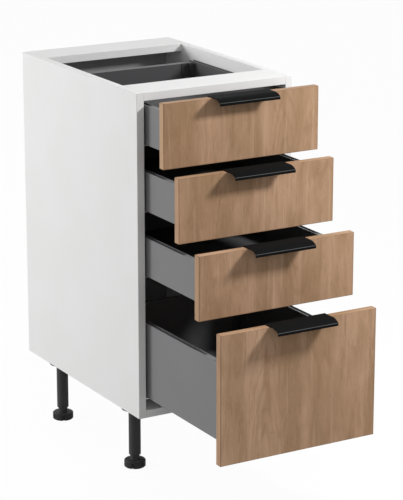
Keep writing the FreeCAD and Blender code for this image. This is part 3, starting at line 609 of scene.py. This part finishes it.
def grey_melamine(number):
    """Dark grey with a weave: the product of two fine waves at right angles, softened by noise."""
    back_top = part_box("drawer_back_%d" % number)[1].z
    paint = Finish("grey_melamine_%d" % number)
    cloud = paint.noise(paint.place, per_metre=12, detail=3)
    speck = paint.noise(paint.place, per_metre=700, detail=3, roughness=0.7)
    warp = (paint.x * WEAVE_RADIANS_PER_METRE).sine()
    weft = ((paint.y + paint.z) * WEAVE_RADIANS_PER_METRE).sine()
    height = warp * weft * 0.35 + speck * 0.6
    face = paint.mix(speck * 0.5 + cloud * 0.5, DARK_GREY, DARK_GREY_CLOUD)
    return paint.surface(Base_Color=paint.mix(paint.z > back_top - BACK_BAND, face, BACK_BAND_GREY),
                         Roughness=0.58 + 0.12 * speck, Specular_IOR_Level=0.10,
                         Normal=paint.bump(height, depth=0.00008, strength=0.5))


for number in DRAWERS:
    wear(grey_melamine(number), "drawer_bottom_%d" % number, "drawer_back_%d" % number)


# --- Corner brackets ------------------------------------------------------------------------
# Moulded dark grey plastic: plates behind the front that reach into the sides, and posts in
# the rear corners that hold the back.

BRACKET_GREY, BRACKET_CLOUD = (0.040, 0.040, 0.042), (0.055, 0.055, 0.058)


def moulded_grey():
    """Dark grey plastic with a fine spark-eroded texture."""
    paint = Finish("moulded_grey")
    spark = paint.noise(paint.place, per_metre=2400, detail=3, roughness=0.6)
    cloud = paint.noise(paint.place, per_metre=50)
    return paint.surface(Base_Color=paint.mix(cloud, BRACKET_GREY, BRACKET_CLOUD),
                         Roughness=0.50 + 0.14 * spark, Specular_IOR_Level=0.30,
                         Normal=paint.bump(spark, depth=0.00006, strength=0.5))


wear(moulded_grey(), *["corner_brackets_%d" % number for number in DRAWERS])


# --- Floor and room -------------------------------------------------------------------------
# A white studio sweep. The camera and reflections see the white room through it, with a trace
# of the real floor that keeps the shadow, so that a foot that is screwed out below it still
# shows. Other rays meet a grey floor and a dim room, which keep the light on the cabinet low.

FLOOR_REACH = 12.0
SHADOW_SHARE = 0.04
ROOM_LIGHT = 0.155
SWEEP_WHITE, FLOOR_GREY = (1.0, 1.0, 1.0), (0.35, 0.35, 0.35)


def seen(shader):
    """1 for a ray from the camera or from a reflection, and 0 for any other."""
    from_camera = shader.node("ShaderNodeLightPath", output="Is Camera Ray")
    return from_camera.larger(shader.node("ShaderNodeLightPath", output="Is Glossy Ray"))


def white_floor():
    """A share of lit floor over a clear one where it is seen, and plain grey for other rays."""
    paint = Finish("white_floor")
    where_seen = seen(paint)
    tone = paint.mix(where_seen, FLOOR_GREY, SWEEP_WHITE)
    matte = paint.node("ShaderNodeBsdfDiffuse", {"Color": tone})
    clear = paint.node("ShaderNodeBsdfTransparent")
    shares = {0: where_seen * (1 - SHADOW_SHARE), 1: matte, 2: clear}
    return paint.end("ShaderNodeOutputMaterial", paint.node("ShaderNodeMixShader", shares))


floor_corners = [(x * FLOOR_REACH, y * FLOOR_REACH, 0) for x, y in [(-1, -1), (1, -1), (1, 1), (-1, 1)]]
floor_mesh = bpy.data.meshes.new("floor")
floor_mesh.from_pydata(floor_corners, [], [(0, 1, 2, 3)])
floor_mesh.materials.append(white_floor())
floor = bpy.data.objects.new("floor", floor_mesh)
bpy.context.scene.collection.objects.link(floor)

room = Shader(bpy.data.worlds.new("room"))
strength = seen(room) * (1 - ROOM_LIGHT) + ROOM_LIGHT
sky = room.node("ShaderNodeBackground", {"Color": SWEEP_WHITE, "Strength": strength})
bpy.context.scene.world = room.end("ShaderNodeOutputWorld", sky)


# --- Lamps ----------------------------------------------------------------------------------
# A small soft key lamp on the right, in front and above, throws the shadows of the handles down
# to the left. It shines steeply down past the fronts, which evens its light over them. A wide
# lamp far behind on the left lights the side panel, and faint ones fill in from far away.

ROUND_LAMPS = {
    "key": {"place": (1.02, -0.97, 1.60), "target": (0.40, -0.90, 0.05), "width": 0.35, "power": 31.8},
    "side": {"place": (-4.2, 3.2, 2.0), "target": (-0.2, 0.28, 0.50), "width": 2.4, "power": 198.0},
}
FAR_LAMPS = {
    "front": {"towards": (-0.25, -1.0, 0.15), "strength": 0.59, "spread": 70},
    "above": {"towards": (-0.10, 0.15, 1.0), "strength": 0.47, "spread": 60},
    "behind": {"towards": (0.45, 1.0, 0.25), "strength": 0.50, "spread": 60},
}


def hang(data, towards, place=(0, 0, 0)):
    """Hangs up a lamp whose light comes from this direction. A far one needs no place."""
    made = bpy.data.objects.new(data.name, data)
    made.location = place
    made.rotation_mode = "QUATERNION"
    made.rotation_quaternion = Vector(towards).to_track_quat("Z", "Y")
    bpy.context.scene.collection.objects.link(made)


for name, lamp in ROUND_LAMPS.items():
    data = bpy.data.lights.new(name, "AREA")
    data.shape = "DISK"
    data.size = lamp["width"]
    data.energy = lamp["power"]
    hang(data, Vector(lamp["place"]) - Vector(lamp["target"]), lamp["place"])
for name, lamp in FAR_LAMPS.items():
    data = bpy.data.lights.new(name, "SUN")
    data.energy = lamp["strength"]
    data.angle = math.radians(lamp["spread"])
    hang(data, lamp["towards"])


# --- Camera ---------------------------------------------------------------------------------
# The photograph's viewpoint: from the left of the front, from above, with a long lens. Its turn
# about the upright axis and its dip below the horizon are in degrees.

CAMERA_PLACE = (-2.3901, -4.0395, 1.8497)
CAMERA_TURN = 30.22
CAMERA_DIP = 15.82
FOCAL_PIXELS = 2158.6
PICTURE_HEIGHT = 500
SENSOR_WIDTH = 36
FARTHEST_SEEN = 100

camera = bpy.data.cameras.new("camera")
camera.sensor_width = SENSOR_WIDTH
camera.lens = FOCAL_PIXELS * SENSOR_WIDTH / PICTURE_HEIGHT
camera.clip_end = FARTHEST_SEEN
viewer = bpy.data.objects.new("camera", camera)
viewer.location = CAMERA_PLACE
viewer.rotation_euler = (math.radians(90 - CAMERA_DIP), 0, -math.radians(CAMERA_TURN))
bpy.context.scene.collection.objects.link(viewer)
bpy.context.scene.camera = viewer
bpy.context.scene.view_settings.view_transform = "Standard"
